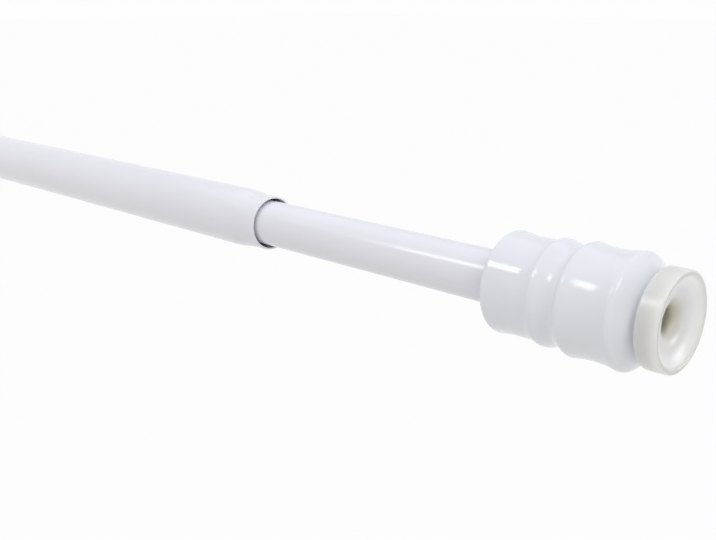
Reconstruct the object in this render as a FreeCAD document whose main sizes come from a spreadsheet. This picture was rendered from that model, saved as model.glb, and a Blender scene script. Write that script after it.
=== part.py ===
import FreeCAD, Part
import math
import os
import Sketcher

# A spring tension rod: two telescoping enamelled tubes, a moulded barrel with a soft foot on each
# end, and, hidden in the outer tube, a twist-lock expander with the spring that presses the feet apart.
# The rod lies along X. X = 0 is the front rim of the outer tube's foot, Z is up.
# Driving sizes in millimetres; the names ending in _count are plain numbers.
SIZES = {
    # tubes
    "outer_tube_diameter": 16,
    "outer_tube_wall": 0.5,
    "outer_tube_length": 406.6,
    "mouth_taper_length": 12,
    "mouth_neck_length": 1.5,
    "mouth_gap": 0.8,
    "inner_tube_diameter": 12,
    "inner_tube_wall": 0.5,
    "inner_tube_length": 305,
    "inner_tube_showing": 78.2,
    # barrels, from the front plane to the rear edge
    "barrel_diameter": 24.2,
    "rim_setback": 5,
    "rim_round": 1.5,
    "rim_to_front_band": 10.2,
    "waist_depth": 0.5,
    "front_band_drop": 0.1,
    "band_edge_run": 1,
    "band_edge_drop": 0.26,
    "band_edge_round": 1.2,
    "front_band_to_groove": 3.6,
    "groove_depth": 1.3,
    "groove_to_bead": 3.8,
    "bead_drop": 0.6,
    "bead_to_rear_band": 3.6,
    "rear_band_depth": 1.3,
    "rear_band_length": 4,
    "rear_flare_length": 3.4,
    "rear_drop": 0.85,
    "rear_round": 1,
    "barrel_web": 5.5,
    "barrel_shell_wall": 1.6,
    "socket_sleeve_wall": 1.6,
    "socket_sleeve_setback": 0.5,
    "socket_clearance": 0.05,
    "barrel_rib_thickness": 1.4,
    "barrel_rib_count": 6,
    # feet
    "foot_diameter": 20.4,
    "foot_flange": 4.7,
    "foot_rim_round": 0.4,
    "foot_rim_flat": 0.5,
    "foot_back_round": 0.5,
    "foot_dish_depth": 1.8,
    "foot_dish_radius": 6,
    "foot_well_diameter": 9.2,
    "foot_well_depth": 3.4,
    "foot_hole_diameter": 5.4,
    "foot_hole_depth": 8,
    "foot_stem_diameter": 7,
    "foot_stem_clearance": 0.1,
    "foot_head_diameter": 9.4,
    "foot_head_length": 2.6,
    "foot_head_tip_diameter": 7.4,
    # guide plug in the inner tube's hidden end
    "plug_flange_length": 3,
    "plug_flange_clearance": 0.2,
    "plug_spigot_length": 12,
    "plug_pilot_diameter": 9,
    "plug_pilot_length": 2.5,
    "plug_shank_clearance": 0.1,
    "press_clearance": 0.03,
    # spindle and what is pushed on it
    "shank_width": 5,
    "shank_tail_length": 2,
    "stop_diameter": 9.6,
    "stop_thickness": 1.2,
    "collar_diameter": 11,
    "collar_length": 3,
    "thread_diameter": 5,
    "tip_length": 1,
    "tip_chamfer": 0.5,
    "retainer_diameter": 8.4,
    "retainer_thickness": 1,
    "retainer_gap": 0.5,
    # spring and its washer
    "spring_length": 50,
    "spring_diameter": 12,
    "spring_wire": 1.2,
    "spring_active_count": 5,
    "spring_run_count": 12,
    "spring_coil_gap": 0.1,
    "spring_seat_gap": 0.05,
    "washer_diameter": 13.6,
    "washer_thickness": 1.2,
    "washer_clearance": 0.16,
    # expander
    "sleeve_length": 26,
    "sleeve_floor": 6,
    "sleeve_clearance": 0.2,
    "sleeve_thrust_gap": 0.2,
    "sleeve_slot_width": 1.6,
    "sleeve_slot_root": 1.5,
    "cone_mouth_diameter": 12.4,
    "cone_root_diameter": 8.4,
    "spindle_clearance": 0.15,
    "nut_length": 16,
    "nut_inset": 1,
    "nut_travel": 4,
    "nut_cone_clearance": 0.15,
    "nut_thread_clearance": 0.1,
    "nut_key_clearance": 0.2,
    "nut_key_length": 8,
    "nut_key_reach": 0.4,
    "ring_width": 2,
    "ring_inset": 2,
    "ring_depth": 1.6,
    "ring_side_clearance": 0.1,
    "ring_bore_clearance": 0.05,
}

CLOCKWISE = -1
COUNTERCLOCKWISE = 1
# how the barrel's nose leans from the rod's axis
NOSE_LEAN = math.radians(45)
NOSE_SINE = math.sin(NOSE_LEAN)
NOSE_COSINE = math.cos(NOSE_LEAN)

doc = FreeCAD.newDocument("SpringTensionRod")
sheet = doc.addObject("Spreadsheet::Sheet", "dims")
for row, (alias, value) in enumerate(SIZES.items(), start=1):
    sheet.set("A%d" % row, alias)
    sheet.set("B%d" % row, str(value))
    sheet.setAlias("B%d" % row, alias)
doc.recompute()


class Size:
    """A length that carries both its number and the formula that ties it to the sheet."""

    def __init__(self, number, formula):
        self.number = number
        self.formula = formula

    def __add__(self, other):
        return joined(self, "+", other, lambda a, b: a + b)

    def __sub__(self, other):
        return joined(self, "-", other, lambda a, b: a - b)

    def __mul__(self, other):
        return joined(self, "*", other, lambda a, b: a * b)

    def __truediv__(self, other):
        return joined(self, "/", other, lambda a, b: a / b)

    def __neg__(self):
        return Size(-self.number, "(-%s)" % self.formula)

    def __abs__(self):
        return Size(abs(self.number), "abs(%s)" % self.formula)


def as_size(value):
    return value if isinstance(value, Size) else Size(float(value), str(value))


def joined(left, sign, right, work_out):
    left = as_size(left)
    right = as_size(right)
    number = work_out(left.number, right.number)
    return Size(number, "(%s %s %s)" % (left.formula, sign, right.formula))


def size(alias):
    return Size(float(sheet.get(alias)), "dims." + alias)


def bind(feature, name, length):
    """Tie a feature's property to the sheet."""
    feature.setExpression(name, length.formula)


# Sketches and features

def new_body(label):
    body = doc.addObject("PartDesign::Body", label)
    body.Label = label
    return body


def origin_of(body, role):
    return next(item for item in body.Origin.OriginFeatures if item.Role == role)


def new_sketch(body, plane, offset=None):
    sketch = body.newObject("Sketcher::SketchObject", body.Label + "_sketch")
    sketch.AttachmentSupport = [(origin_of(body, plane), "")]
    sketch.MapMode = "FlatFace"
    if offset is not None:
        bind(sketch, "AttachmentOffset.Base.z", offset)
    return sketch


def arc_between(start, end, radius, turn):
    """The short arc of this radius from start to end, turning the given way round."""
    chord = end - start
    rise = math.sqrt(max(radius ** 2 - (chord.Length / 2) ** 2, 0))
    left = FreeCAD.Vector(-chord.y, chord.x, 0).normalize()
    centre = (start + end) * 0.5 + left * rise * turn
    first, last = (start, end) if turn == COUNTERCLOCKWISE else (end, start)
    angles = [math.atan2(point.y - centre.y, point.x - centre.x) for point in (first, last)]
    return Part.ArcOfCircle(Part.Circle(centre, FreeCAD.Vector(0, 0, 1), radius), *angles)


def outline(sketch, points):
    """Draw a closed outline. A point is (x, y), reached by a straight line, or (x, y, radius, turn),
    reached by an arc. Every point and radius is tied to the sheet."""
    points = [tuple(as_size(part) for part in point[:3]) + tuple(point[3:]) for point in points]
    places = [FreeCAD.Vector(point[0].number, point[1].number, 0) for point in points]
    start_point, end_point = 1, 2
    starts, ends = [], []
    for index, point in enumerate(points):
        before, here = places[index - 1], places[index]
        is_arc = len(point) == 4
        if is_arc:
            sketch.addGeometry(arc_between(before, here, point[2].number, point[3]))
        else:
            sketch.addGeometry(Part.LineSegment(before, here))
        backwards = is_arc and point[3] == CLOCKWISE
        starts.append(end_point if backwards else start_point)
        ends.append(start_point if backwards else end_point)

    rules, formulas = [], {}
    horizontal_axis, vertical_axis = -1, -2
    for index, point in enumerate(points):
        following = (index + 1) % len(points)
        rules.append(Sketcher.Constraint("Coincident", index, ends[index], following, starts[following]))
        across = ("DistanceX", point[0], vertical_axis)
        upwards = ("DistanceY", point[1], horizontal_axis)
        for kind, length, axis in (across, upwards):
            if length.number == 0:
                rules.append(Sketcher.Constraint("PointOnObject", index, ends[index], axis))
            else:
                formulas[len(rules)] = length.formula
                rules.append(Sketcher.Constraint(kind, index, ends[index], length.number))
        if len(point) == 4:
            formulas[len(rules)] = point[2].formula
            rules.append(Sketcher.Constraint("Radius", index, point[2].number))
    sketch.addConstraint(rules)
    for index, formula in formulas.items():
        sketch.setExpression("Constraints[%d]" % index, formula)


def box_outline(sketch, low_x, high_x, low_y, high_y):
    outline(sketch, [(low_x, low_y), (high_x, low_y), (high_x, high_y), (low_x, high_y)])


def square_outline(sketch, width):
    half = width / 2
    box_outline(sketch, -half, half, -half, half)


def circle_outline(sketch, diameter):
    middle_of_circle = 3
    sketch_origin = (-1, 1)
    circle = Part.Circle(FreeCAD.Vector(0, 0, 0), FreeCAD.Vector(0, 0, 1), diameter.number / 2)
    ring = sketch.addGeometry(circle)
    sketch.addConstraint(Sketcher.Constraint("Coincident", ring, middle_of_circle, *sketch_origin))
    index = sketch.addConstraint(Sketcher.Constraint("Diameter", ring, diameter.number))
    sketch.setExpression("Constraints[%d]" % index, diameter.formula)


def turned(body, points):
    """A solid of revolution about X, from a half section in the XY plane."""
    sketch = new_sketch(body, "XY_Plane")
    outline(sketch, points)
    feature = body.newObject("PartDesign::Revolution", body.Label + "_turned")
    feature.Profile = sketch
    feature.ReferenceAxis = (sketch, ["H_Axis"])
    feature.Angle = 360
    return feature


def padded(body, sketch, length, both_ways=False):
    feature = body.newObject("PartDesign::Pad", body.Label + "_pad")
    feature.Profile = sketch
    feature.Midplane = both_ways
    bind(feature, "Length", length)
    return feature


def cut_through(body, sketch):
    feature = body.newObject("PartDesign::Pocket", body.Label + "_cut")
    feature.Profile = sketch
    feature.Type = "ThroughAll"
    feature.Midplane = True
    return feature


def repeated(body, feature, count):
    """Copies of a feature, spread evenly all round X."""
    doc.recompute()
    pattern = body.newObject("PartDesign::PolarPattern", body.Label + "_pattern")
    pattern.Originals = [feature]
    pattern.Axis = (origin_of(body, "X_Axis"), [""])
    pattern.Angle = 360
    bind(pattern, "Occurrences", count)
    body.Tip = pattern
    return pattern


def place(part, x, facing_plus_x=False):
    """Set a piece at its X; one that faces +X is turned end for end about Z."""
    turn = 180 if facing_plus_x else 0
    rotation = FreeCAD.Rotation(FreeCAD.Vector(0, 0, 1), turn)
    part.Placement = FreeCAD.Placement(FreeCAD.Vector(x.number, 0, 0), rotation)
    bind(part, "Placement.Base.x", x)
    return part


def sweep_between(start, end):
    """Two equal arcs that lead smoothly from one level of a profile to the next."""
    (start_x, start_y), (end_x, end_y) = start, end
    run = abs(end_x - start_x)
    drop = abs(end_y - start_y)
    radius = (run * run + drop * drop) / (drop * 4)
    middle = ((start_x + end_x) / 2, (start_y + end_y) / 2)
    forwards = end_x.number > start_x.number
    upwards = end_y.number > start_y.number
    first = COUNTERCLOCKWISE if forwards == upwards else CLOCKWISE
    return [middle + (radius, first), (end_x, end_y, radius, -first)]


# Radii and places shared by several pieces

outer_radius = size("outer_tube_diameter") / 2
outer_bore = outer_radius - size("outer_tube_wall")
inner_radius = size("inner_tube_diameter") / 2
inner_bore = inner_radius - size("inner_tube_wall")
stem_radius = size("foot_stem_diameter") / 2
thread_radius = size("thread_diameter") / 2

barrel_profile_lengths = (
    "rim_setback", "rim_to_front_band", "front_band_to_groove", "groove_to_bead",
    "bead_to_rear_band", "rear_band_length", "rear_flare_length", "rear_round",
)
barrel_length = as_size(0)
for length_name in barrel_profile_lengths:
    barrel_length = barrel_length + size(length_name)

outer_tube_start = size("foot_flange") + size("barrel_web")
mouth_x = outer_tube_start + size("outer_tube_length")
rod_length = mouth_x + size("inner_tube_showing") + barrel_length + size("foot_flange")
inner_tube_end = rod_length - size("foot_flange") - size("barrel_web")
inner_tube_start = inner_tube_end - size("inner_tube_length")

spring_end = inner_tube_start - size("plug_flange_length")
spring_start = spring_end - size("spring_length")
washer_start = spring_start - size("washer_thickness")
collar_start = washer_start - size("collar_length")
sleeve_end = collar_start - size("sleeve_thrust_gap")
sleeve_start = sleeve_end - size("sleeve_length")
nut_start = sleeve_start + size("nut_inset")
retainer_end = nut_start - size("nut_travel") - size("retainer_gap")
retainer_start = retainer_end - size("retainer_thickness")
spindle_start = retainer_start - size("tip_length")
stop_start = inner_tube_start + size("plug_spigot_length")
spindle_end = stop_start + size("stop_thickness") + size("shank_tail_length")


# Tubes

def make_outer_tube():
    """Rolled tube whose mouth is necked in and rolled over."""
    body = new_body("outer_tube")
    length = size("outer_tube_length")
    mouth_bore = inner_radius + size("mouth_gap")
    neck_radius = mouth_bore + size("outer_tube_wall")
    neck_start = length - size("mouth_neck_length")
    taper_start = neck_start - size("mouth_taper_length")
    lip_start = length - size("outer_tube_wall")
    points = [(0, outer_bore), (0, outer_radius), (taper_start, outer_radius)]
    points += sweep_between((taper_start, outer_radius), (neck_start, neck_radius))
    points += [
        (lip_start, neck_radius),
        (length, mouth_bore, size("outer_tube_wall"), CLOCKWISE),
        (neck_start, mouth_bore),
    ]
    points += sweep_between((neck_start, mouth_bore), (taper_start, outer_bore))
    turned(body, points)
    return place(body, outer_tube_start)


def make_inner_tube():
    body = new_body("inner_tube")
    length = size("inner_tube_length")
    turned(body, [(0, inner_bore), (length, inner_bore), (length, inner_radius), (0, inner_radius)])
    return place(body, inner_tube_start)


# End barrels and feet, drawn from the front plane towards the rear

def hollow_to(start, level):
    """One arc from start down to a place where the profile runs level."""
    run = abs(level[0] - start[0])
    drop = start[1] - level[1]
    radius = (run * run + drop * drop) / (drop * 2)
    return [level + (radius, COUNTERCLOCKWISE)]


def barrel_outside():
    """The outside of a barrel: leaning nose, rim, waist, front band, groove, bead, rear band and flare."""
    rim_radius = size("barrel_diameter") / 2
    rim = (size("rim_setback"), rim_radius)
    rim_round = size("rim_round")
    nose_end_x = rim[0] - rim_round * NOSE_SINE
    nose_end_radius = rim_radius - rim_round * (1 - NOSE_COSINE)
    points = [
        (0, nose_end_radius - nose_end_x * (NOSE_SINE / NOSE_COSINE)),
        (nose_end_x, nose_end_radius),
        rim + (rim_round, CLOCKWISE),
    ]

    band = (rim[0] + size("rim_to_front_band"), rim_radius - size("front_band_drop"))
    half_waist = size("rim_to_front_band") / 2
    waist_depth = size("waist_depth")
    waist_radius = (half_waist * half_waist + waist_depth * waist_depth) / (waist_depth * 2)
    points += [band + (waist_radius, COUNTERCLOCKWISE)]

    edge = (band[0] + size("band_edge_run"), band[1] - size("band_edge_drop"))
    points += [edge + (size("band_edge_round"), CLOCKWISE)]
    groove = (band[0] + size("front_band_to_groove"), rim_radius - size("groove_depth"))
    points += hollow_to(edge, groove)
    bead = (groove[0] + size("groove_to_bead"), rim_radius - size("bead_drop"))
    points += sweep_between(groove, bead)
    rear_band = (bead[0] + size("bead_to_rear_band"), rim_radius - size("rear_band_depth"))
    points += hollow_to(bead, rear_band)
    rear_radius = rim_radius - size("rear_drop")
    rear_round = size("rear_round")
    points += [
        (rear_band[0] + size("rear_band_length"), rear_band[1]),
        (barrel_length - rear_round, rear_radius),
        (barrel_length, rear_radius - rear_round, rear_round, CLOCKWISE),
    ]
    return points


def make_barrel(label, tube_radius, cored):
    """Moulded end barrel with a socket for its tube and a web that holds the foot's stem.
    Round the smaller tube it is cored from the rear, with ribs between socket and shell."""
    body = new_body(label)
    web = size("barrel_web")
    socket_radius = tube_radius + size("socket_clearance")
    points = [(0, stem_radius + size("foot_stem_clearance"))] + barrel_outside()
    if cored:
        shell_bore = (size("barrel_diameter") / 2 - size("rear_band_depth")) - size("barrel_shell_wall")
        sleeve_radius = socket_radius + size("socket_sleeve_wall")
        sleeve_end_x = barrel_length - size("socket_sleeve_setback")
        points += [
            (barrel_length, shell_bore),
            (web, shell_bore),
            (web, sleeve_radius),
            (sleeve_end_x, sleeve_radius),
            (sleeve_end_x, socket_radius),
        ]
    else:
        points += [(barrel_length, socket_radius)]
    points += [(web, socket_radius), (web, stem_radius + size("foot_stem_clearance"))]
    turned(body, points)
    if cored:
        half_sleeve = size("socket_sleeve_wall") / 2
        half_shell = size("barrel_shell_wall") / 2
        sketch = new_sketch(body, "XY_Plane")
        box_outline(sketch, web / 2, sleeve_end_x, socket_radius + half_sleeve, shell_bore + half_shell)
        rib = padded(body, sketch, size("barrel_rib_thickness"), both_ways=True)
        repeated(body, rib, size("barrel_rib_count"))
    return body


def make_foot(label):
    """Soft foot: a dished flange with a central well and hole, a stem and a push-through head."""
    body = new_body(label)
    foot_radius = size("foot_diameter") / 2
    flange = size("foot_flange")
    rim_round = size("foot_rim_round")
    back_round = size("foot_back_round")
    hole_radius = size("foot_hole_diameter") / 2
    rim_outer = foot_radius - rim_round
    head_start = flange + size("barrel_web")
    head_end = head_start + size("foot_head_length")
    turned(body, [
        (size("foot_hole_depth"), 0),
        (size("foot_hole_depth"), hole_radius),
        (size("foot_well_depth"), hole_radius),
        (size("foot_dish_depth"), size("foot_well_diameter") / 2),
        (0, rim_outer - size("foot_rim_flat"), size("foot_dish_radius"), COUNTERCLOCKWISE),
        (0, rim_outer),
        (rim_round, foot_radius, rim_round, CLOCKWISE),
        (flange - back_round, foot_radius),
        (flange, foot_radius - back_round, back_round, CLOCKWISE),
        (flange, stem_radius),
        (head_start, stem_radius),
        (head_start, size("foot_head_diameter") / 2),
        (head_end, size("foot_head_tip_diameter") / 2),
        (head_end, 0),
    ])
    return body


# Spring core, from the inner tube's hidden end

def make_guide_plug():
    """Plug in the inner tube's end: pilot for the spring, sliding flange, spigot, square hole."""
    body = new_body("guide_plug")
    pilot_end = size("plug_pilot_length")
    flange_end = pilot_end + size("plug_flange_length")
    spigot_end = flange_end + size("plug_spigot_length")
    flange_radius = outer_bore - size("plug_flange_clearance")
    spigot_radius = inner_bore - size("press_clearance")
    turned(body, [
        (0, 0),
        (0, size("plug_pilot_diameter") / 2),
        (pilot_end, size("plug_pilot_diameter") / 2),
        (pilot_end, flange_radius),
        (flange_end, flange_radius),
        (flange_end, spigot_radius),
        (spigot_end, spigot_radius),
        (spigot_end, 0),
    ])
    sketch = new_sketch(body, "YZ_Plane")
    square_outline(sketch, size("shank_width") + size("plug_shank_clearance") * 2)
    cut_through(body, sketch)
    return place(body, spring_end - size("plug_pilot_length"))


def make_spindle():
    """Threaded end and collar, turned, with a square shank on the other side of the collar."""
    body = new_body("spindle")
    collar_at = collar_start - spindle_start
    collar_end = collar_at + size("collar_length")
    chamfer = size("tip_chamfer")
    turned(body, [
        (0, 0),
        (0, thread_radius - chamfer),
        (chamfer, thread_radius),
        (collar_at, thread_radius),
        (collar_at, size("collar_diameter") / 2),
        (collar_end, size("collar_diameter") / 2),
        (collar_end, 0),
    ])
    sketch = new_sketch(body, "YZ_Plane", offset=collar_end)
    square_outline(sketch, size("shank_width"))
    padded(body, sketch, spindle_end - washer_start)
    return place(body, spindle_start)


def make_disc(label, diameter, thickness, x):
    """A flat disc, to be pierced."""
    body = new_body(label)
    sketch = new_sketch(body, "YZ_Plane")
    circle_outline(sketch, diameter)
    padded(body, sketch, thickness)
    return place(body, x)


def make_spindle_stop():
    """Push-on retainer that keeps the shank in the plug."""
    body = make_disc("spindle_stop", size("stop_diameter"), size("stop_thickness"), stop_start)
    sketch = new_sketch(body, "YZ_Plane")
    square_outline(sketch, size("shank_width") + size("press_clearance") * 2)
    cut_through(body, sketch)
    return body


def make_spring_washer():
    """Washer between spring and collar; its bore passes the shank's corners."""
    body = make_disc("spring_washer", size("washer_diameter"), size("washer_thickness"), washer_start)
    sketch = new_sketch(body, "YZ_Plane")
    shank_across_corners = size("shank_width") * math.sqrt(2)
    circle_outline(sketch, shank_across_corners + size("washer_clearance") * 2)
    cut_through(body, sketch)
    return body


def make_tip_retainer():
    """Push-on retainer that keeps the cone nut on the spindle."""
    body = make_disc(
        "spindle_tip_retainer", size("retainer_diameter"), size("retainer_thickness"), retainer_start
    )
    sketch = new_sketch(body, "YZ_Plane")
    circle_outline(sketch, size("thread_diameter") + size("press_clearance") * 2)
    cut_through(body, sketch)
    return body


def mitred_wire(points, radius):
    """Round wire along short straight runs, mitred where they meet."""
    overrun = radius * 2
    directions = [(after - before).normalize() for before, after in zip(points, points[1:])]
    miters = [directions[0]]
    miters += [(before + after).normalize() for before, after in zip(directions, directions[1:])]
    miters.append(directions[-1])
    runs = []
    for index, direction in enumerate(directions):
        start, end = points[index], points[index + 1]
        length = (end - start).Length + 2 * overrun
        run = Part.makeCylinder(radius, length, start - direction * overrun, direction)
        for point, outwards in ((start, -miters[index]), (end, miters[index + 1])):
            cap = Part.Face(Part.Wire([Part.Circle(point, outwards, 2 * overrun).toShape()]))
            run = run.cut(cap.extrude(outwards * 2 * overrun))
        runs.append(run)
    return runs[0].multiFuse(runs[1:]).Solids[0]


def make_spring():
    """Compression spring with a closed coil at each end."""
    wire = size("spring_wire").number
    mean_radius = (size("spring_diameter").number - wire) / 2
    active_turns = round(size("spring_active_count").number)
    runs_per_turn = round(size("spring_run_count").number)
    closed_pitch = wire + size("spring_coil_gap").number
    first_x = wire / 2 + size("spring_seat_gap").number
    open_length = size("spring_length").number - 2 * first_x - 2 * closed_pitch

    def wire_point(step):
        turns = step / runs_per_turn
        x = first_x + closed_pitch * min(turns, 1)
        x += open_length * min(max(turns - 1, 0), active_turns) / active_turns
        x += closed_pitch * max(turns - 1 - active_turns, 0)
        angle = 2 * math.pi * turns
        return FreeCAD.Vector(x, mean_radius * math.cos(angle), mean_radius * math.sin(angle))

    step_count = (active_turns + 2) * runs_per_turn
    spring = doc.addObject("Part::Feature", "compression_spring")
    spring.Label = "compression_spring"
    spring.Shape = mitred_wire([wire_point(step) for step in range(step_count + 1)], wire / 2)
    return place(spring, spring_start)


def make_expander_sleeve():
    """Sleeve with a tapered bore, split by a slot across its open end, and a groove for the drag ring."""
    body = new_body("expander_sleeve")
    length = size("sleeve_length")
    sleeve_radius = outer_bore - size("sleeve_clearance")
    floor_at = length - size("sleeve_floor")
    groove_end = length - size("ring_inset")
    groove_start = groove_end - size("ring_width") - size("ring_side_clearance") * 2
    groove_radius = sleeve_radius - size("ring_depth")
    hole_radius = thread_radius + size("spindle_clearance")
    turned(body, [
        (0, size("cone_mouth_diameter") / 2),
        (floor_at, size("cone_root_diameter") / 2),
        (floor_at, hole_radius),
        (length, hole_radius),
        (length, sleeve_radius),
        (groove_end, sleeve_radius),
        (groove_end, groove_radius),
        (groove_start, groove_radius),
        (groove_start, sleeve_radius),
        (0, sleeve_radius),
    ])
    half_slot = size("sleeve_slot_width") / 2
    sketch = new_sketch(body, "XY_Plane")
    box_outline(sketch, 0, floor_at - size("sleeve_slot_root"), -half_slot, half_slot)
    cut_through(body, sketch)
    return place(body, sleeve_start)


def make_cone_nut():
    """Tapered nut that spreads the sleeve, with keys that run in the sleeve's slots."""
    body = new_body("cone_nut")
    length = size("nut_length")
    mouth_radius = size("cone_mouth_diameter") / 2
    bore_length = size("sleeve_length") - size("sleeve_floor")
    slope = (mouth_radius - size("cone_root_diameter") / 2) / bore_length
    wide_radius = mouth_radius - slope * size("nut_inset") - size("nut_cone_clearance")
    key_width = size("sleeve_slot_width") - size("nut_key_clearance") * 2
    key_radius = outer_bore - size("sleeve_clearance") - size("nut_key_reach")
    turned(body, [
        (0, 0),
        (0, wide_radius),
        (length, wide_radius - slope * length),
        (length, 0),
    ])
    sketch = new_sketch(body, "XY_Plane")
    box_outline(sketch, 0, size("nut_key_length"), -key_width / 2, key_width / 2)
    padded(body, sketch, key_radius * 2, both_ways=True)
    sketch = new_sketch(body, "YZ_Plane")
    circle_outline(sketch, size("thread_diameter") + size("nut_thread_clearance") * 2)
    cut_through(body, sketch)
    return place(body, nut_start)


def make_drag_ring():
    """Square-cut rubber ring that rubs on the outer tube's bore."""
    body = new_body("drag_ring")
    sleeve_radius = outer_bore - size("sleeve_clearance")
    ring_bore = sleeve_radius - size("ring_depth") + size("ring_bore_clearance")
    ring_radius = outer_bore - size("ring_bore_clearance")
    width = size("ring_width")
    turned(body, [(0, ring_bore), (width, ring_bore), (width, ring_radius), (0, ring_radius)])
    return place(body, sleeve_end - size("ring_inset") - size("ring_side_clearance") - width)


sub_parts = [
    make_outer_tube(),
    make_inner_tube(),
    place(make_barrel("outer_end_barrel", outer_radius, cored=False), size("foot_flange")),
    place(make_barrel("inner_end_barrel", inner_radius, cored=True), rod_length - size("foot_flange"),
          facing_plus_x=True),
    place(make_foot("outer_end_foot"), as_size(0)),
    place(make_foot("inner_end_foot"), rod_length, facing_plus_x=True),
    make_guide_plug(),
    make_spindle(),
    make_spindle_stop(),
    make_spring(),
    make_spring_washer(),
    make_expander_sleeve(),
    make_cone_nut(),
    make_tip_retainer(),
    make_drag_ring(),
]

doc.recompute()
for item in doc.Objects:
    if "Invalid" in item.State or "Error" in item.State:
        raise RuntimeError("%s did not build: %s" % (item.Label, item.State))
for part in sub_parts:
    if part.Shape.isNull() or not part.Shape.isValid():
        raise RuntimeError("%s has no valid shape" % part.Label)

os.makedirs("parts", exist_ok=True)
for part in sub_parts:
    part.Shape.exportStep(os.path.join("parts", part.Label + ".step"))
    box = part.Shape.optimalBoundingBox()
    print("%-22s %d solid, X %.2f to %.2f, %.1f mm3" % (
        part.Label, len(part.Shape.Solids), box.XMin, box.XMax, part.Shape.Volume))
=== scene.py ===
import math

import bmesh
import bpy
from mathutils import Matrix, Vector


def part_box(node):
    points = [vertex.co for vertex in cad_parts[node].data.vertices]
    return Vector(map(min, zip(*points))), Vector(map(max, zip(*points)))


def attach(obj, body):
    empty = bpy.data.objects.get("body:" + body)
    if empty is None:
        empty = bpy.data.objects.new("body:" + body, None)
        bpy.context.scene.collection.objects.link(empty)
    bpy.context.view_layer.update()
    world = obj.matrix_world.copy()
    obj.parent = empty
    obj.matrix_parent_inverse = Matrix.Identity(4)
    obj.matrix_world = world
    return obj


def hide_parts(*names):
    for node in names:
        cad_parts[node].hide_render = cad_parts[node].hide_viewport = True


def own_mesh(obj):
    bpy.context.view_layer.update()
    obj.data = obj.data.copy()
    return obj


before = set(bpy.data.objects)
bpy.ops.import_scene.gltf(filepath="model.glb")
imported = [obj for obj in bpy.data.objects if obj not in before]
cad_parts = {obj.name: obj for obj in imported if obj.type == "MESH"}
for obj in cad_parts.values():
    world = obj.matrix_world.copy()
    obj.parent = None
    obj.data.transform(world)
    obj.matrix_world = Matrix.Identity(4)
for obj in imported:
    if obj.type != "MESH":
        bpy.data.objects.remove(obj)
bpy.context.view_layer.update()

MM = 0.001


def x_span(node):
    """Where a CAD node starts and ends along the rod, in millimetres."""
    low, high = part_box(node)
    return low[0] / MM, high[0] / MM


# Sizes in millimetres. Lengths along the rod come from the frame.
OUTER_START, MOUTH_X = x_span("outer_tube")
INNER_START, INNER_END = x_span("inner_tube")
OUTER_RADIUS = 8.0
INNER_RADIUS = 6.0
TUBE_WALL = 0.5
MOUTH_GAP = 0.8
MOUTH_NECK = 1.5
MOUTH_TAPER = 12.0
CUT_EDGE_ROUND = 0.12

BARREL_RIM_RADIUS = 12.1
BARREL_RIM_SETBACK = 5.0
BARREL_RIM_ROUND = 1.5
NOSE_LEAN = math.radians(45)
# Runs along the barrel from its rim, and depths below the rim
RIM_TO_BAND = 10.2
WAIST_DEPTH = 0.5
BAND_DROP = 0.1
BAND_EDGE_RUN = 1.0
BAND_EDGE_DROP = 0.26
BAND_EDGE_ROUND = 1.2
BAND_TO_GROOVE = 3.6
GROOVE_DEPTH = 1.3
GROOVE_TO_BEAD = 3.8
BEAD_DROP = 0.6
BEAD_TO_REAR_BAND = 3.6
REAR_BAND_DEPTH = 1.3
REAR_BAND_LENGTH = 4.0
REAR_FLARE_LENGTH = 3.4
REAR_DROP = 0.85
REAR_ROUND = 1.0
# Inside of the barrel
BARREL_WEB = 5.5
BARREL_SHELL_BORE = 9.2
BARREL_SLEEVE_RADIUS = 7.65
BARREL_SLEEVE_SETBACK = 0.5
BARREL_RIB_COUNT = 6
BARREL_RIB_THICKNESS = 1.4
BARREL_RIB_BITE = 0.3
SOCKET_CLEARANCE = 0.05
STEM_HOLE_RADIUS = 3.6

FOOT_RADIUS = 10.2
FOOT_FLANGE = 4.7
FOOT_RIM_ROUND = 0.4
FOOT_RIM_FLAT = 0.5
FOOT_BACK_ROUND = 0.5
FOOT_DISH_DEPTH = 1.8
FOOT_DISH_RADIUS = 6.0
FOOT_WELL_RADIUS = 4.6
FOOT_WELL_DEPTH = 3.4
FOOT_HOLE_RADIUS = 2.7
FOOT_HOLE_DEPTH = 8.0
FOOT_STEM_RADIUS = 3.5
FOOT_HEAD_RADIUS = 4.7
FOOT_HEAD_TIP_RADIUS = 3.7
FOOT_HEAD_LENGTH = 2.6
FOOT_HOLE_EASE = 0.7
FOOT_WELL_EASE = 1.0
FOOT_LIP_EASE = 0.35

SPRING_WIRE = 1.2
SPRING_MEAN_RADIUS = 5.4
SPRING_COIL_GAP = 0.1
SPRING_ACTIVE_TURNS = 5

THREAD_RADIUS = 2.5
THREAD_LEAD = 2.0
THREAD_DEPTH = 0.5
THREAD_LENGTH = 25.0
THREAD_RUN_OUT = 1.5
TIP_CHAMFER = 0.5
COLLAR_RADIUS = 5.5
COLLAR_LENGTH = 3.0
COLLAR_EDGE = 0.3
SHANK_WIDTH = 5.0
SHANK_EDGE = 0.35

# How finely the meshes are divided, with lengths in millimetres
ROUND_STEPS = 160
SPINDLE_ROUND_STEPS = 96
SPRING_STEPS_PER_TURN = 48
SPRING_WIRE_STEPS = 16
THREAD_STEP = 0.1
# A section's point that is nearer the axis than this counts as on it
AXIS_RADIUS = 1e-6

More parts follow.
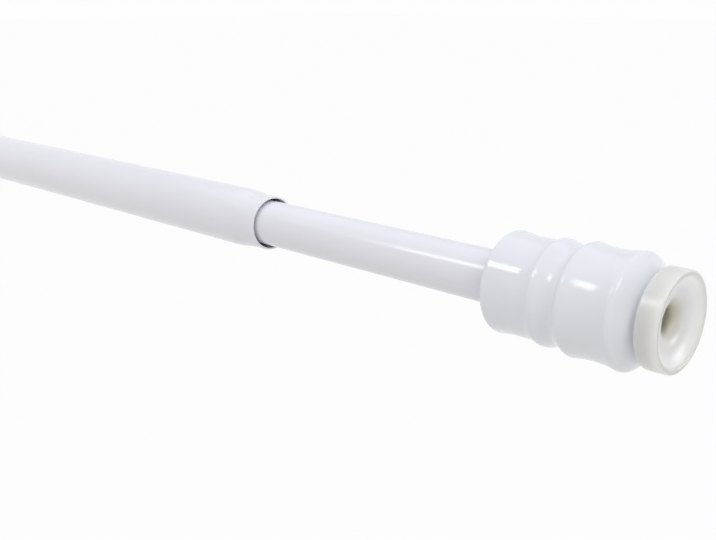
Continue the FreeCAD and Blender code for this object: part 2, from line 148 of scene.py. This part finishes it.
# Stage, with places in metres
CAMERA_SPOT = Vector((0.6079, -0.1607, 0.0576))
CAMERA_AHEAD = Vector((-0.6760, 0.6841, -0.2737))
CAMERA_LENS_MM = 47.3
CAMERA_SENSOR_MM = 36
FLOOR_REACH = 30.0
FLOOR_HEIGHT = -0.45
FLOOR_GLOW = 0.95
FLOOR_COLOUR = (0.87, 0.86, 0.84, 1)
STUDIO_WHITE = (0.985, 0.985, 0.985, 1)
STUDIO_AMBIENT = 0.62
WHITE_LIGHT = (1, 1, 1)
COOL_LIGHT = (0.77, 0.85, 1.0)
WARM_LIGHT = (1.0, 0.985, 0.95)


# Meshes

class Section:
    """A half section drawn point by point in (x, radius), in millimetres."""

    def __init__(self, x, radius):
        self.points = [(x, radius)]

    def line(self, x, radius):
        """A straight run to the next point."""
        self.points.append((x, radius))
        return self

    def ease(self, x, radius, steps=8):
        """Two equal arcs, level at both ends, that lead from this radius to the next."""
        start_x, start_radius = self.points[-1]
        run, rise = x - start_x, radius - start_radius
        bow = (run ** 2 + rise ** 2) / (4 * abs(rise))
        turn = math.copysign(1, run * rise)
        self.arc(start_x + run / 2, start_radius + rise / 2, bow, turn, steps)
        return self.arc(x, radius, bow, -turn, steps)

    def bend(self, corner, after, reach, steps=6):
        """A soft corner that leaves the way here and joins the way after at the given reach."""
        corner = Vector(corner)
        start = corner + (Vector(self.points[-1]) - corner).normalized() * reach
        end = corner + (Vector(after) - corner).normalized() * reach
        for step in range(steps + 1):
            part = step / steps
            spot = start.lerp(corner, part).lerp(corner.lerp(end, part), part)
            self.points.append(tuple(spot))
        return self

    def hollow(self, x, radius, steps=14):
        """One arc down to a place where the section runs level."""
        start_x, start_radius = self.points[-1]
        run, drop = x - start_x, start_radius - radius
        return self.arc(x, radius, (run ** 2 + drop ** 2) / (2 * drop), 1, steps)

    def arc(self, x, radius, bend, turn, steps=10):
        """A short arc of radius bend; turn is 1 when it curves to the left of its way."""
        start, end = Vector(self.points[-1]), Vector((x, radius))
        chord = end - start
        rise = math.sqrt(max(bend ** 2 - (chord.length / 2) ** 2, 0))
        centre = (start + end) / 2 + Vector((-chord.y, chord.x)).normalized() * rise * turn
        first, last = start - centre, end - centre
        sweep = first.angle(last) * turn
        for step in range(1, steps + 1):
            angle = sweep * step / steps
            spoke = Matrix.Rotation(angle, 2) @ first
            self.points.append(tuple(centre + spoke))
        return self


def finish_mesh(name, bm, sharp_degrees=32):
    """Turn a bmesh into a smooth-shaded object with its real edges kept crisp."""
    bmesh.ops.recalc_face_normals(bm, faces=bm.faces)
    mesh = bpy.data.meshes.new(name)
    bm.to_mesh(mesh)
    bm.free()
    mesh.shade_smooth()
    mesh.set_sharp_from_angle(angle=math.radians(sharp_degrees))
    piece = bpy.data.objects.new(name, mesh)
    bpy.context.scene.collection.objects.link(piece)
    return piece


def as_drawn(x):
    """Places a section where it is drawn along the rod."""
    return x


def from_near_end(front_x):
    """Places a section that is drawn from the near end's front plane backwards."""
    return lambda x: front_x - x


def from_far_end(front_x):
    """Places a section that is drawn from the far end's front plane inwards."""
    return lambda x: front_x + x


def uncut(x, angle):
    """The relief of a plain turned surface."""
    return 0


def turn_section(bm, section, place=as_drawn, steps=ROUND_STEPS, relief=uncut):
    """Revolve a closed section about the rod's axis; a point on the axis becomes a pole.

    The relief is how deep the surface is cut in at a place along and round the rod.
    """
    rings = []
    for x, radius in section.points:
        along = place(x) * MM
        if radius < AXIS_RADIUS:
            rings.append([bm.verts.new((along, 0, 0))])
            continue
        ring = []
        for step in range(steps):
            angle = 2 * math.pi * step / steps
            reach = (radius - relief(x, angle)) * MM
            ring.append(bm.verts.new((along, reach * math.cos(angle), reach * math.sin(angle))))
        rings.append(ring)
    for index, ring in enumerate(rings):
        following = rings[(index + 1) % len(rings)]
        if len(ring) == 1 and len(following) == 1:
            continue
        for step in range(steps):
            after = (step + 1) % steps
            if len(ring) == 1:
                corners = [ring[0], following[after], following[step]]
            elif len(following) == 1:
                corners = [ring[step], ring[after], following[0]]
            else:
                corners = [ring[step], ring[after], following[after], following[step]]
            bm.faces.new(corners)


def turned_piece(name, section, place=as_drawn):
    """A piece that is one plain turned section."""
    bm = bmesh.new()
    turn_section(bm, section, place)
    return finish_mesh(name, bm)


def outer_tube_piece():
    """Tube with a necked-in mouth and a rolled lip."""
    bore = OUTER_RADIUS - TUBE_WALL
    mouth_bore = INNER_RADIUS + MOUTH_GAP
    neck = mouth_bore + TUBE_WALL
    neck_start = MOUTH_X - MOUTH_NECK
    taper_start = neck_start - MOUTH_TAPER
    section = Section(OUTER_START, bore)
    section.line(OUTER_START, OUTER_RADIUS - CUT_EDGE_ROUND)
    section.arc(OUTER_START + CUT_EDGE_ROUND, OUTER_RADIUS, CUT_EDGE_ROUND, -1, steps=4)
    section.line(taper_start, OUTER_RADIUS)
    section.ease(neck_start, neck, steps=20)
    section.line(MOUTH_X - TUBE_WALL, neck)
    section.arc(MOUTH_X, mouth_bore, TUBE_WALL, -1)
    section.line(neck_start, mouth_bore)
    section.ease(taper_start, bore, steps=20)
    return turned_piece("outer_tube_enamel", section)


def inner_tube_piece():
    """Plain tube with both cut edges slightly rounded."""
    bore = INNER_RADIUS - TUBE_WALL
    section = Section(INNER_START, bore)
    section.line(INNER_START, INNER_RADIUS - CUT_EDGE_ROUND)
    section.arc(INNER_START + CUT_EDGE_ROUND, INNER_RADIUS, CUT_EDGE_ROUND, -1, steps=4)
    section.line(INNER_END - CUT_EDGE_ROUND, INNER_RADIUS)
    section.arc(INNER_END, INNER_RADIUS - CUT_EDGE_ROUND, CUT_EDGE_ROUND, -1, steps=4)
    section.line(INNER_END, bore)
    return turned_piece("inner_tube_enamel", section)


def barrel_outside():
    """From the stem hole over the nose, rim, waist, band, groove, bead and rear band to the rear edge."""
    rim = BARREL_RIM_RADIUS
    nose_end_x = BARREL_RIM_SETBACK - BARREL_RIM_ROUND * math.sin(NOSE_LEAN)
    nose_end_radius = rim - BARREL_RIM_ROUND * (1 - math.cos(NOSE_LEAN))
    section = Section(0, STEM_HOLE_RADIUS)
    section.line(0, nose_end_radius - nose_end_x * math.tan(NOSE_LEAN))
    section.line(nose_end_x, nose_end_radius)
    section.arc(BARREL_RIM_SETBACK, rim, BARREL_RIM_ROUND, -1)
    x = BARREL_RIM_SETBACK + RIM_TO_BAND
    waist_bend = ((RIM_TO_BAND / 2) ** 2 + WAIST_DEPTH ** 2) / (2 * WAIST_DEPTH)
    section.arc(x, rim - BAND_DROP, waist_bend, 1, steps=24)
    section.arc(x + BAND_EDGE_RUN, rim - BAND_DROP - BAND_EDGE_DROP, BAND_EDGE_ROUND, -1)
    x += BAND_TO_GROOVE
    section.hollow(x, rim - GROOVE_DEPTH)
    x += GROOVE_TO_BEAD
    section.ease(x, rim - BEAD_DROP)
    x += BEAD_TO_REAR_BAND
    section.hollow(x, rim - REAR_BAND_DEPTH)
    x += REAR_BAND_LENGTH
    section.line(x, rim - REAR_BAND_DEPTH)
    x += REAR_FLARE_LENGTH
    section.line(x, rim - REAR_DROP)
    rear = x + REAR_ROUND
    section.arc(rear, rim - REAR_DROP - REAR_ROUND, REAR_ROUND, -1)
    return section, rear


def add_rib(bm, angle, low_x, high_x, low_radius, high_radius, place):
    """One thin radial rib between the socket sleeve and the shell."""
    half = BARREL_RIB_THICKNESS / 2
    corners = []
    for x in (low_x, high_x):
        for radius in (low_radius, high_radius):
            for side in (-half, half):
                spot = Matrix.Rotation(angle, 3, "X") @ Vector((place(x), radius, side))
                corners.append(bm.verts.new(spot * MM))
    for face in ((0, 1, 3, 2), (4, 6, 7, 5), (0, 4, 5, 1), (2, 3, 7, 6), (0, 2, 6, 4), (1, 5, 7, 3)):
        bm.faces.new([corners[index] for index in face])


def barrel_piece(name, tube_radius, place, cored):
    """Glossy moulded barrel; the one round the smaller tube is cored and ribbed behind."""
    section, rear = barrel_outside()
    socket = tube_radius + SOCKET_CLEARANCE
    sleeve_end = rear - BARREL_SLEEVE_SETBACK
    if cored:
        section.line(rear, BARREL_SHELL_BORE)
        section.line(BARREL_WEB, BARREL_SHELL_BORE)
        section.line(BARREL_WEB, BARREL_SLEEVE_RADIUS)
        section.line(sleeve_end, BARREL_SLEEVE_RADIUS)
        section.line(sleeve_end, socket)
    else:
        section.line(rear, socket)
    section.line(BARREL_WEB, socket)
    section.line(BARREL_WEB, STEM_HOLE_RADIUS)
    bm = bmesh.new()
    turn_section(bm, section, place)
    if cored:
        rib_start = BARREL_WEB - BARREL_RIB_BITE
        rib_foot = BARREL_SLEEVE_RADIUS - BARREL_RIB_BITE
        rib_head = BARREL_SHELL_BORE + BARREL_RIB_BITE
        for index in range(BARREL_RIB_COUNT):
            angle = 2 * math.pi * index / BARREL_RIB_COUNT
            add_rib(bm, angle, rib_start, sleeve_end, rib_foot, rib_head, place)
    return finish_mesh(name, bm)


def foot_piece(name, place):
    """Soft dished foot with a central well, a blind hole, a stem and a push-through head."""
    rim_outer = FOOT_RADIUS - FOOT_RIM_ROUND
    head_start = FOOT_FLANGE + BARREL_WEB
    head_end = head_start + FOOT_HEAD_LENGTH
    well_edge = (FOOT_DISH_DEPTH, FOOT_WELL_RADIUS)
    lip = (0, rim_outer - FOOT_RIM_FLAT)
    section = Section(FOOT_HOLE_DEPTH, 0)
    section.line(FOOT_HOLE_DEPTH, FOOT_HOLE_RADIUS)
    section.bend((FOOT_WELL_DEPTH, FOOT_HOLE_RADIUS), well_edge, FOOT_HOLE_EASE)
    section.bend(well_edge, (FOOT_DISH_DEPTH, rim_outer), FOOT_WELL_EASE)
    section.arc(FOOT_LIP_EASE, lip[1] - FOOT_LIP_EASE, FOOT_DISH_RADIUS, 1, steps=14)
    section.bend(lip, (0, rim_outer), FOOT_LIP_EASE)
    section.line(0, rim_outer)
    section.arc(FOOT_RIM_ROUND, FOOT_RADIUS, FOOT_RIM_ROUND, -1)
    section.line(FOOT_FLANGE - FOOT_BACK_ROUND, FOOT_RADIUS)
    section.arc(FOOT_FLANGE, FOOT_RADIUS - FOOT_BACK_ROUND, FOOT_BACK_ROUND, -1, steps=8)
    section.line(FOOT_FLANGE, FOOT_STEM_RADIUS)
    section.line(head_start, FOOT_STEM_RADIUS)
    section.line(head_start, FOOT_HEAD_RADIUS)
    section.line(head_end, FOOT_HEAD_TIP_RADIUS)
    section.line(head_end, 0)
    return turned_piece(name, section, place)


def join_rings(bm, rings):
    """Skin a row of rings of vertices and close both of its ends."""
    for before, after in zip(rings, rings[1:]):
        for index in range(len(before)):
            following = (index + 1) % len(before)
            bm.faces.new([before[index], before[following], after[following], after[index]])
    bm.faces.new(rings[0])
    bm.faces.new(rings[-1])


def spring_piece():
    """Compression spring with a closed coil at each end, as one smooth wire."""
    start, end = x_span("compression_spring")
    wire = SPRING_WIRE / 2
    closed_pitch = SPRING_WIRE + SPRING_COIL_GAP
    open_length = end - start - SPRING_WIRE - 2 * closed_pitch
    turns = SPRING_ACTIVE_TURNS + 2
    direction_step = 0.002

    def centre(turn):
        x = start + wire + closed_pitch * min(turn, 1)
        x += open_length * min(max(turn - 1, 0), SPRING_ACTIVE_TURNS) / SPRING_ACTIVE_TURNS
        x += closed_pitch * max(turn - 1 - SPRING_ACTIVE_TURNS, 0)
        angle = 2 * math.pi * turn
        return Vector((x, SPRING_MEAN_RADIUS * math.cos(angle), SPRING_MEAN_RADIUS * math.sin(angle)))

    bm = bmesh.new()
    rings = []
    for step in range(turns * SPRING_STEPS_PER_TURN + 1):
        turn = step / SPRING_STEPS_PER_TURN
        along = (centre(turn + direction_step) - centre(turn - direction_step)).normalized()
        outwards = centre(turn) * Vector((0, 1, 1))
        side = along.cross(outwards).normalized()
        lift = side.cross(along)
        ring = []
        for spoke in range(SPRING_WIRE_STEPS):
            angle = 2 * math.pi * spoke / SPRING_WIRE_STEPS
            spot = centre(turn) + (side * math.cos(angle) + lift * math.sin(angle)) * wire
            ring.append(bm.verts.new(spot * MM))
        rings.append(ring)
    join_rings(bm, rings)
    return finish_mesh("spring_coil", bm)


def add_square_shank(bm, start, end):
    """A square bar with eased edges and an eased tail."""
    half_width = SHANK_WIDTH / 2
    rings = []
    for x, half in ((start, half_width), (end - SHANK_EDGE, half_width), (end, half_width - SHANK_EDGE)):
        flat = half - SHANK_EDGE
        ring = []
        for turn in range(4):
            for y, z in ((half, flat), (flat, half)):
                spot = Matrix.Rotation(math.pi / 2 * turn, 3, "X") @ Vector((x, y, z))
                ring.append(bm.verts.new(spot * MM))
        rings.append(ring)
    join_rings(bm, rings)


def spindle_piece():
    """Steel spindle: a rolled left-hand thread, a collar and a square shank."""
    start, end = x_span("spindle")
    collar_end = x_span("spring_washer")[0]
    collar_start = collar_end - COLLAR_LENGTH
    thread_start, thread_end = start + TIP_CHAMFER, start + THREAD_LENGTH

    def thread_relief(x, angle):
        if not thread_start <= x <= thread_end:
            return 0
        wave = (1 - math.cos(2 * math.pi * (x / THREAD_LEAD) + angle)) / 2
        fade = min(1, (x - thread_start) / TIP_CHAMFER, (thread_end - x) / THREAD_RUN_OUT)
        return THREAD_DEPTH * fade * wave ** 2 * (3 - 2 * wave)

    section = Section(start, 0)
    section.line(start, THREAD_RADIUS - TIP_CHAMFER)
    thread_steps = round((thread_end - thread_start) / THREAD_STEP)
    for step in range(thread_steps + 1):
        section.line(thread_start + (thread_end - thread_start) * step / thread_steps, THREAD_RADIUS)
    section.line(collar_start, THREAD_RADIUS)
    section.line(collar_start, COLLAR_RADIUS - COLLAR_EDGE)
    section.line(collar_start + COLLAR_EDGE, COLLAR_RADIUS)
    section.line(collar_end - COLLAR_EDGE, COLLAR_RADIUS)
    section.line(collar_end, COLLAR_RADIUS - COLLAR_EDGE)
    section.line(collar_end, 0)
    bm = bmesh.new()
    turn_section(bm, section, steps=SPINDLE_ROUND_STEPS, relief=thread_relief)
    add_square_shank(bm, collar_end - COLLAR_LENGTH / 2, end)
    return finish_mesh("spindle_threaded", bm, sharp_degrees=40)


# Materials

def new_group(name, inputs, outputs):
    """A shader node group with its named sockets, and its two end nodes."""
    group = bpy.data.node_groups.new(name, "ShaderNodeTree")
    for label, kind, value in inputs:
        socket = group.interface.new_socket(label, in_out="INPUT", socket_type=kind)
        socket.default_value = value
    for label, kind in outputs:
        group.interface.new_socket(label, in_out="OUTPUT", socket_type=kind)
    return group, group.nodes.new("NodeGroupInput"), group.nodes.new("NodeGroupOutput")


def math_node(tree, operation, *values):
    """A math node fed with numbers or sockets, in the order of its inputs."""
    node = tree.nodes.new("ShaderNodeMath")
    node.operation = operation
    for socket, value in zip(node.inputs, values):
        if isinstance(value, (int, float)):
            socket.default_value = value
        else:
            tree.links.new(value, socket)
    return node.outputs[0]


def make_surface_wander():
    """Slow patches of slightly different colour, and a fine even grain to go in a bump."""
    group, start, end = new_group(
        "surface_wander",
        [("Light", "NodeSocketColor", (1, 1, 1, 1)), ("Dark", "NodeSocketColor", (1, 1, 1, 1)),
         ("Patch Scale", "NodeSocketFloat", 60.0), ("Grain Scale", "NodeSocketFloat", 2500.0)],
        [("Color", "NodeSocketColor"), ("Patch", "NodeSocketFloat"), ("Grain", "NodeSocketFloat")],
    )
    nodes, links = group.nodes, group.links
    place = nodes.new("ShaderNodeTexCoord")
    patch = nodes.new("ShaderNodeTexNoise")
    patch.inputs["Detail"].default_value = 3
    grain = nodes.new("ShaderNodeTexNoise")
    grain.inputs["Detail"].default_value = 2
    for noise, scale in ((patch, "Patch Scale"), (grain, "Grain Scale")):
        links.new(place.outputs["Object"], noise.inputs["Vector"])
        links.new(start.outputs[scale], noise.inputs["Scale"])
    spread = nodes.new("ShaderNodeMapRange")
    spread.inputs["From Min"].default_value = 0.3
    spread.inputs["From Max"].default_value = 0.7
    links.new(patch.outputs["Fac"], spread.inputs["Value"])
    mix = nodes.new("ShaderNodeMix")
    mix.data_type = "RGBA"
    links.new(spread.outputs["Result"], mix.inputs["Factor"])
    links.new(start.outputs["Dark"], mix.inputs["A"])
    links.new(start.outputs["Light"], mix.inputs["B"])
    links.new(mix.outputs["Result"], end.inputs["Color"])
    links.new(spread.outputs["Result"], end.inputs["Patch"])
    links.new(grain.outputs["Fac"], end.inputs["Grain"])
    return group


def new_finish(name, wander, light, dark, patch_scale, grain_scale, grain_depth, rough_low, rough_high):
    """A material whose colour, roughness and fine relief come from the shared wander group."""
    material = bpy.data.materials.new(name)
    material.use_nodes = True
    tree = material.node_tree
    shader = tree.nodes["Principled BSDF"]
    group = tree.nodes.new("ShaderNodeGroup")
    group.node_tree = wander
    group.inputs["Light"].default_value = (*light, 1)
    group.inputs["Dark"].default_value = (*dark, 1)
    group.inputs["Patch Scale"].default_value = patch_scale
    group.inputs["Grain Scale"].default_value = grain_scale
    rough = math_node(tree, "MULTIPLY_ADD", group.outputs["Patch"], rough_high - rough_low, rough_low)
    bump = tree.nodes.new("ShaderNodeBump")
    bump.inputs["Strength"].default_value = 1.0
    bump.inputs["Distance"].default_value = grain_depth
    tree.links.new(group.outputs["Color"], shader.inputs["Base Color"])
    tree.links.new(rough, shader.inputs["Roughness"])
    tree.links.new(group.outputs["Grain"], bump.inputs["Height"])
    tree.links.new(bump.outputs["Normal"], shader.inputs["Normal"])
    return material


def shader_of(material):
    """The surface shader that a finish is built on."""
    return material.node_tree.nodes["Principled BSDF"]


def paint_shade_by_radius(material):
    """Painted shade by radius on the milky vinyl: darker olive in the hole for its depth, white in the
    dish, dark where the clear lip turns, and grey on the outer wall for its translucency.

    Each stop is a share of the foot's radius and the tint there.
    """
    # Each tint is painted shade in the base colour: the hole's depth, the lip's dark turn and the outer
    # wall's grey.
    painted_shade_stops = (
        (FOOT_HOLE_RADIUS / FOOT_RADIUS, (0.73, 0.71, 0.54)),  # hole
        (FOOT_WELL_RADIUS / FOOT_RADIUS, (0.87, 0.84, 0.80)),  # edge of the well
        (0.72, (0.93, 0.93, 0.94)),  # middle of the dish
        (0.84, (0.82, 0.82, 0.83)),  # dish near the lip
        (0.92, (0.45, 0.46, 0.46)),  # turn of the lip
        (0.955, (0.48, 0.48, 0.47)),  # flat of the lip
        (0.985, (0.65, 0.65, 0.63)),  # round of the rim and outer wall
    )
    tree = material.node_tree
    shader = shader_of(material)
    place = tree.nodes.new("ShaderNodeTexCoord")
    across = tree.nodes.new("ShaderNodeVectorMath")
    across.operation = "MULTIPLY"
    across.inputs[1].default_value = (0, 1, 1)
    tree.links.new(place.outputs["Object"], across.inputs[0])
    spoke = tree.nodes.new("ShaderNodeVectorMath")
    spoke.operation = "LENGTH"
    tree.links.new(across.outputs["Vector"], spoke.inputs[0])
    share = math_node(tree, "DIVIDE", spoke.outputs["Value"], FOOT_RADIUS * MM)
    ramp = tree.nodes.new("ShaderNodeValToRGB")
    while len(ramp.color_ramp.elements) < len(painted_shade_stops):
        ramp.color_ramp.elements.new(1.0)
    for stop, (position, colour) in zip(ramp.color_ramp.elements, painted_shade_stops):
        stop.position = position
        stop.color = (*colour, 1)
    tree.links.new(share, ramp.inputs["Fac"])
    mix = tree.nodes.new("ShaderNodeMix")
    mix.data_type = "RGBA"
    mix.blend_type = "MULTIPLY"
    mix.inputs["Factor"].default_value = 1.0
    tree.links.new(shader.inputs["Base Color"].links[0].from_socket, mix.inputs["A"])
    tree.links.new(ramp.outputs["Color"], mix.inputs["B"])
    tree.links.new(mix.outputs["Result"], shader.inputs["Base Color"])


def make_enamel(wander):
    """White enamel baked on the tubes, with a thin clear gloss."""
    enamel = new_finish(
        "white_enamel", wander, light=(0.84, 0.835, 0.9), dark=(0.82, 0.815, 0.88),
        patch_scale=90, grain_scale=1400, grain_depth=0.000004, rough_low=0.16, rough_high=0.22)
    shader = shader_of(enamel)
    shader.inputs["Coat Weight"].default_value = 0.1
    shader.inputs["Coat Roughness"].default_value = 0.08
    return enamel


def make_gloss_plastic(wander):
    """Glossy moulded plastic that lets a little light in."""
    plastic = new_finish(
        "gloss_white_plastic", wander, light=(0.83, 0.845, 0.90), dark=(0.81, 0.825, 0.88),
        patch_scale=70, grain_scale=900, grain_depth=0.000005, rough_low=0.1, rough_high=0.16)
    shader = shader_of(plastic)
    shader.inputs["Subsurface Weight"].default_value = 0.15
    shader.inputs["Subsurface Radius"].default_value = (0.6, 0.6, 0.7)
    shader.inputs["Subsurface Scale"].default_value = 0.002
    return plastic


def make_vinyl(wander):
    """Soft milky vinyl that light passes deep into."""
    vinyl = new_finish(
        "milky_vinyl", wander, light=(0.98, 0.98, 0.98), dark=(0.94, 0.94, 0.93),
        patch_scale=160, grain_scale=1600, grain_depth=0.000003, rough_low=0.28, rough_high=0.36)
    # Painted shade by radius goes into the vinyl's base colour here.
    paint_shade_by_radius(vinyl)
    shader = shader_of(vinyl)
    shader.inputs["IOR"].default_value = 1.5
    shader.inputs["Subsurface Weight"].default_value = 1.0
    shader.inputs["Subsurface Radius"].default_value = (1.0, 0.97, 0.85)
    shader.inputs["Subsurface Scale"].default_value = 0.011
    shader.inputs["Coat Weight"].default_value = 0.4
    shader.inputs["Coat Roughness"].default_value = 0.2
    return vinyl


def make_nylon(wander):
    """Natural nylon of the lock's moulded pieces."""
    return new_finish(
        "natural_nylon", wander, light=(0.78, 0.77, 0.71), dark=(0.7, 0.69, 0.62),
        patch_scale=120, grain_scale=1800, grain_depth=0.00001, rough_low=0.42, rough_high=0.55)


def make_zinc_steel(wander):
    """Zinc-plated steel of the spindle, spring and small hardware."""
    steel = new_finish(
        "zinc_plated_steel", wander, light=(0.62, 0.63, 0.65), dark=(0.5, 0.51, 0.54),
        patch_scale=220, grain_scale=2600, grain_depth=0.000006, rough_low=0.25, rough_high=0.42)
    shader_of(steel).inputs["Metallic"].default_value = 1.0
    return steel


def make_rubber(wander):
    """Black rubber of the drag ring."""
    return new_finish(
        "black_rubber", wander, light=(0.03, 0.03, 0.032), dark=(0.02, 0.02, 0.021),
        patch_scale=200, grain_scale=2400, grain_depth=0.00001, rough_low=0.6, rough_high=0.75)


surface_wander = make_surface_wander()
finishes = {
    "tube_enamel": make_enamel(surface_wander),
    "barrel_plastic": make_gloss_plastic(surface_wander),
    "foot_vinyl": make_vinyl(surface_wander),
    "core_plastic": make_nylon(surface_wander),
    "core_steel": make_zinc_steel(surface_wander),
    "ring_rubber": make_rubber(surface_wander),
}


# Pieces on their bodies

def dress(piece, body, slot, *nodes):
    """Give a piece its finish and its body, and let it stand for the CAD nodes named."""
    piece.data.materials.append(finishes[slot])
    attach(piece, body)
    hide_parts(*nodes)


near_front = x_span("inner_end_foot")[1]
far_front = x_span("outer_end_foot")[0]
near_barrel_front = near_front - FOOT_FLANGE
far_barrel_front = far_front + FOOT_FLANGE

dress(outer_tube_piece(), "outer", "tube_enamel", "outer_tube")
dress(inner_tube_piece(), "inner", "tube_enamel", "inner_tube")
dress(barrel_piece("inner_end_barrel_gloss", INNER_RADIUS, from_near_end(near_barrel_front), cored=True),
      "inner", "barrel_plastic", "inner_end_barrel")
dress(barrel_piece("outer_end_barrel_gloss", OUTER_RADIUS, from_far_end(far_barrel_front), cored=False),
      "outer", "barrel_plastic", "outer_end_barrel")
dress(foot_piece("inner_end_foot_soft", from_near_end(near_front)), "inner", "foot_vinyl", "inner_end_foot")
dress(foot_piece("outer_end_foot_soft", from_far_end(far_front)), "outer", "foot_vinyl", "outer_end_foot")

spring = spring_piece()
dress(spring, "spindle", "core_steel", "compression_spring")
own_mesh(spring)

dress(spindle_piece(), "spindle", "core_steel", "spindle")

core_slots = {
    "core_plastic": ("guide_plug", "expander_sleeve", "cone_nut"),
    "core_steel": ("spindle_stop", "spring_washer", "spindle_tip_retainer"),
    "ring_rubber": ("drag_ring",),
}
for slot, nodes in core_slots.items():
    for node in nodes:
        for material_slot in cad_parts[node].material_slots:
            material_slot.material = finishes[slot]


# Stage

def add_area_light(name, spot, aim, width, height, radiance, colour):
    """A soft box that shines with the given radiance from spot towards aim."""
    lamp = bpy.data.lights.new(name, "AREA")
    lamp.shape = "RECTANGLE"
    lamp.size = width
    lamp.size_y = height
    lamp.energy = radiance * math.pi * width * height
    lamp.color = colour
    holder = bpy.data.objects.new(name, lamp)
    bpy.context.scene.collection.objects.link(holder)
    holder.location = spot
    holder.rotation_euler = (aim - spot).to_track_quat("-Z", "Y").to_euler()
    return holder


def make_lights():
    """Soft boxes round the rod; the gloss panel adds reflections but no diffuse light."""
    near_end = Vector((0.5, 0, 0))
    rim_distance = 0.8
    front_way = Vector((0.64, -0.29, 0.70)).normalized()
    rim_way = Vector((0.73, 0.66, 0.18)).normalized()
    fill_way = Vector((0.88, -0.35, -0.3)).normalized()
    add_area_light("overhead_soft_box", near_end + Vector((-0.1, 0.1, 1.0)), near_end,
                   width=1.4, height=1.4, radiance=0.3, colour=COOL_LIGHT)
    add_area_light("side_key", Vector((0.11, -0.542, 0.56)), Vector((0.11, 0, 0)),
                   width=0.32, height=0.17, radiance=6.2, colour=WHITE_LIGHT)
    add_area_light("front_key", near_end + front_way, near_end,
                   width=0.38, height=0.38, radiance=3.8, colour=WARM_LIGHT)
    add_area_light("rim_key", near_end + rim_way * rim_distance, near_end,
                   width=0.3, height=0.3, radiance=3.4, colour=WHITE_LIGHT)
    add_area_light("front_fill", near_end + fill_way, near_end,
                   width=0.8, height=0.8, radiance=0.5, colour=WARM_LIGHT)
    panel = add_area_light("gloss_panel", Vector((0.4, 0, 0.6)), Vector((0.4, 0, 0)),
                           width=1.6, height=1.16, radiance=0.6, colour=COOL_LIGHT)
    panel.visible_diffuse = False


def background_mask(tree):
    """1 for rays that look at the stage directly, in a mirror or through something clear."""
    path = tree.nodes.new("ShaderNodeLightPath")
    seen = math_node(tree, "MAXIMUM", path.outputs["Is Camera Ray"], path.outputs["Is Glossy Ray"])
    return math_node(tree, "MAXIMUM", seen, path.outputs["Is Transmission Ray"])


def make_world():
    """A white surrounding that lights the rod less than it shows."""
    world = bpy.data.worlds.new("white_studio")
    bpy.context.scene.world = world
    world.use_nodes = True
    tree = world.node_tree
    background = tree.nodes["Background"]
    background.inputs["Color"].default_value = STUDIO_WHITE
    strength = math_node(tree, "MULTIPLY_ADD", background_mask(tree), 1 - STUDIO_AMBIENT, STUDIO_AMBIENT)
    tree.links.new(strength, background.inputs["Strength"])


def make_floor():
    """Pale floor far below the rod; it shows almost white and keeps a faint shadow."""
    bm = bmesh.new()
    corners = []
    for x, y in ((-1, -1), (1, -1), (1, 1), (-1, 1)):
        corners.append(bm.verts.new((x * FLOOR_REACH, y * FLOOR_REACH, FLOOR_HEIGHT)))
    bm.faces.new(corners)
    mesh = bpy.data.meshes.new("floor")
    bm.to_mesh(mesh)
    bm.free()
    floor = bpy.data.objects.new("floor", mesh)
    bpy.context.scene.collection.objects.link(floor)
    material = bpy.data.materials.new("pale_floor")
    material.use_nodes = True
    tree = material.node_tree
    tree.nodes.remove(tree.nodes["Principled BSDF"])
    matt = tree.nodes.new("ShaderNodeBsdfDiffuse")
    matt.inputs["Color"].default_value = FLOOR_COLOUR
    glow = tree.nodes.new("ShaderNodeEmission")
    glow.inputs["Color"].default_value = (1, 1, 1, 1)
    mix = tree.nodes.new("ShaderNodeMixShader")
    tree.links.new(math_node(tree, "MULTIPLY", background_mask(tree), FLOOR_GLOW), mix.inputs["Fac"])
    tree.links.new(matt.outputs["BSDF"], mix.inputs[1])
    tree.links.new(glow.outputs["Emission"], mix.inputs[2])
    tree.links.new(mix.outputs["Shader"], tree.nodes["Material Output"].inputs["Surface"])
    floor.data.materials.append(material)


def make_camera():
    """The photograph's viewpoint: above and beside the near end, looking back along the rod."""
    lens = bpy.data.cameras.new("camera")
    lens.sensor_width = CAMERA_SENSOR_MM
    lens.lens = CAMERA_LENS_MM
    camera = bpy.data.objects.new("camera", lens)
    bpy.context.scene.collection.objects.link(camera)
    camera.location = CAMERA_SPOT
    camera.rotation_euler = CAMERA_AHEAD.to_track_quat("-Z", "Y").to_euler()
    bpy.context.scene.camera = camera


make_world()
make_floor()
make_camera()
make_lights()
bpy.context.scene.view_settings.view_transform = "Standard"
